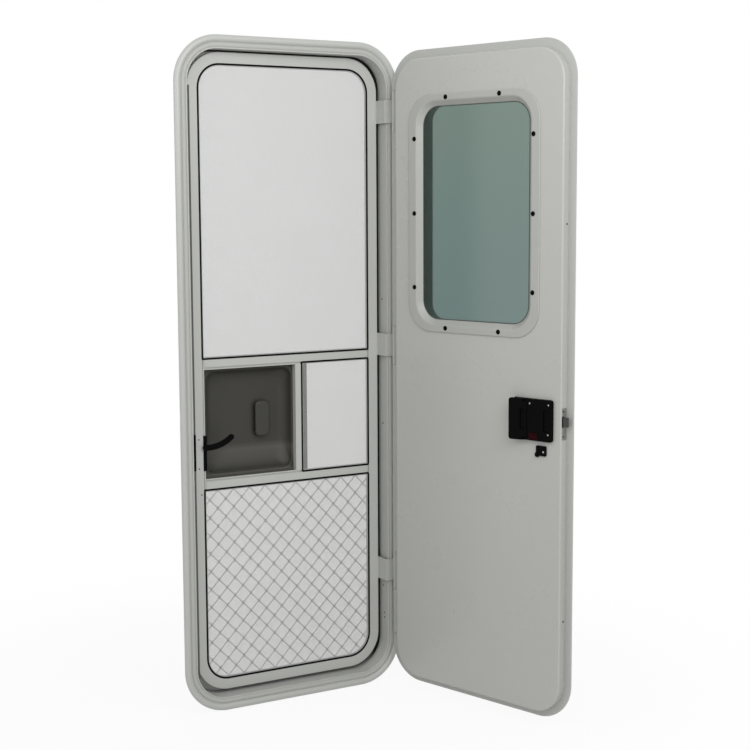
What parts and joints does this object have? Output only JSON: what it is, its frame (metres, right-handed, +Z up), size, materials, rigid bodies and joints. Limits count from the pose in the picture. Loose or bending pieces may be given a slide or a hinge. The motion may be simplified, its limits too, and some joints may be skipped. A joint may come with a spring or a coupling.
{
  "type": "caravan entry door",
  "caption": "Caravan entry door: bent metal frame, outward-opening main door with fixed window and slam lock, and an inner fly-screen door with a sliding hatch and diamond grille.",
  "frame": {"origin": "middle of the bottom flange's back face, on the wall's outer face", "axes": "+X to the right seen from outside, +Y into the caravan, +Z up"},
  "size_m": [0.8649, 0.7359, 1.9],
  "materials": {
    "frame_paint": "satin pale grey powder coat",
    "seal_rubber": "soft pale grey bulb seal",
    "bare_steel": "zinc plated",
    "black_plastic": "fine moulded grain",
    "door_paint": "satin pale grey",
    "liner_plastic": "smooth moulded pale grey",
    "trim_plastic": "moulded pale grey",
    "window_glass": "green-grey tint",
    "red_plastic": "dark red moulding",
    "screen_aluminium": "satin pale grey powder coat",
    "spline_rubber": "black ribbed cord",
    "fly_mesh": "fine woven fly mesh",
    "grille_metal": "pale diamond lattice",
    "tray_plastic": "dark grey moulding"
  },
  "bodies": {
    "frame": {"frame_head": "frame_paint", "frame_sill": "frame_paint", "frame_lock_jamb": "frame_paint", "frame_hinge_jamb": "frame_paint", "frame_seal": "seal_rubber", "strike_plate": "bare_steel", "screen_keeper": "black_plastic", "frame_hinge_knuckles": "frame_paint", "hinge_pin": "bare_steel"},
    "main_door": {"door_skin": "door_paint", "door_edge": "door_paint", "door_liner": "liner_plastic", "door_hinge_leaf": "door_paint", "window_outer_trim": "trim_plastic", "window_glass": "window_glass", "window_inner_ring": "liner_plastic", "lock_case": "black_plastic", "lock_red_tab": "red_plastic", "latch_plate": "bare_steel", "catch_pin": "bare_steel", "outer_handle_plate": "black_plastic", "outer_handle_bar": "black_plastic", "key_cylinder": "bare_steel"},
    "lock_paddle": {"lock_paddle": "black_plastic"},
    "latch_bolt": {"latch_bolt": "bare_steel"},
    "catch": {"catch_turn": "black_plastic"},
    "screen_door": {"screen_head_rail": "screen_aluminium", "screen_foot_rail": "screen_aluminium", "screen_lock_stile": "screen_aluminium", "screen_hinge_stile": "screen_aluminium", "upper_mid_rail": "screen_aluminium", "lower_mid_rail": "screen_aluminium", "screen_mullion": "screen_aluminium", "screen_hinge_straps": "screen_aluminium", "upper_spline": "spline_rubber", "side_spline": "spline_rubber", "lower_spline": "spline_rubber", "upper_mesh": "fly_mesh", "side_mesh": "fly_mesh", "lower_mesh": "fly_mesh", "security_grille": "grille_metal", "screen_lock_case": "black_plastic"},
    "hatch": {"hatch_tray": "tray_plastic"},
    "screen_lever": {"screen_lever": "black_plastic"}
  },
  "joints": [
    {"name": "main_door_hinge", "type": "hinge", "parent": "frame", "child": "main_door", "pos_m": [0.329, -0.0175, 0.931], "axis": [0, 0, 1], "range_deg": [-106.4, 60]},
    {"name": "screen_door_hinge", "type": "hinge", "parent": "frame", "child": "screen_door", "pos_m": [0.329, -0.0175, 0.931], "axis": [0, 0, 1], "range_deg": [0, 106]},
    {"name": "hatch_slide", "type": "slide", "parent": "screen_door", "child": "hatch", "axis": [1, 0, 0], "range_m": [0, 0.23]},
    {"name": "screen_lever_turn", "type": "hinge", "parent": "screen_door", "child": "screen_lever", "pos_m": [-0.263, 0.0268, 0.741], "axis": [0, -1, 0], "range_deg": [0, 25]},
    {"name": "lock_paddle_pull", "type": "hinge", "parent": "main_door", "child": "lock_paddle", "pos_m": [0.44097, -0.53077, 0.838], "axis": [0, 0, 1], "range_deg": [0, 20], "stiffness_Nm_per_rad": 0.6},
    {"name": "latch_bolt_slide", "type": "slide", "parent": "main_door", "child": "latch_bolt", "axis": [-0.2823, 0.9593, 0], "range_m": [0, 0.0171]},
    {"name": "catch_turn", "type": "hinge", "parent": "main_door", "child": "catch", "pos_m": [0.46418, -0.58127, 0.752], "axis": [-0.9593, -0.2823, 0], "range_deg": [0, 90]}
  ],
  "couplings": [
    {"joint": "latch_bolt_slide", "follows": "lock_paddle_pull", "m_per_rad": 0.048701}
  ]
}
